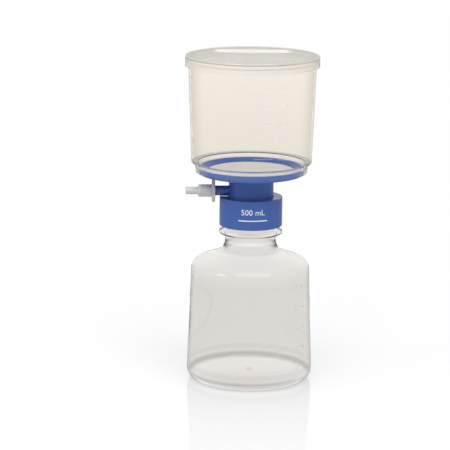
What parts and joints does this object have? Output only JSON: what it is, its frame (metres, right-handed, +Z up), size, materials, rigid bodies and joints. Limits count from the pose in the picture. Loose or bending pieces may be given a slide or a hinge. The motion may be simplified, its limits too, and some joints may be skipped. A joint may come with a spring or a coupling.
{
  "type": "vacuum filtration unit",
  "caption": "Bottle-top vacuum filtration unit: clear lidded upper chamber on a blue filter base with a side port, screwed onto a clear receiver bottle.",
  "frame": {"origin": "centre of the bottle's foot, on the surface it stands on", "axes": "+Z up along the unit's axis; -X out along the side port; -Y is the front, which carries the collar's print"},
  "size_m": [0.107, 0.107, 0.264],
  "materials": {
    "bottle_plastic": "gloss",
    "chamber_plastic": "gloss",
    "lid_plastic": "gloss",
    "blue_plastic": "gloss",
    "membrane": "matte",
    "white_plastic": "satin",
    "porous_plug": "matte",
    "gasket_rubber": "matte",
    "white_print": "satin",
    "graduation_print": "satin"
  },
  "bodies": {
    "bottle": {"receiver_bottle": "bottle_plastic"},
    "gasket": {"neck_gasket": "gasket_rubber"},
    "head": {"filter_base": "blue_plastic", "filter_membrane": "membrane", "upper_chamber": "chamber_plastic"},
    "collar": {"neck_collar": "blue_plastic"},
    "adapter": {"tube_adapter": "white_plastic", "adapter_plug": "porous_plug"},
    "lid": {"lid": "lid_plastic"}
  },
  "joints": [
    {"name": "head_lift", "type": "slide", "parent": "bottle", "child": "gasket", "axis": [0, 0, 1], "range_m": [0, 0.05]},
    {"name": "screw_rise", "type": "slide", "parent": "gasket", "child": "head", "axis": [0, 0, 1], "range_m": [0, 0.0061]},
    {"name": "collar_turn", "type": "hinge", "parent": "head", "child": "collar", "pos_m": [0, 0, 0.138], "axis": [0, 0, 1], "range_deg": [0, 540]},
    {"name": "adapter_pull", "type": "slide", "parent": "head", "child": "adapter", "axis": [-1, 0, 0], "range_m": [0, 0.015]},
    {"name": "lid_lift", "type": "slide", "parent": "head", "child": "lid", "axis": [0, 0, 1], "range_m": [0, 0.04]}
  ],
  "couplings": [
    {"joint": "screw_rise", "follows": "collar_turn", "m_per_rad": 0.00063662}
  ]
}
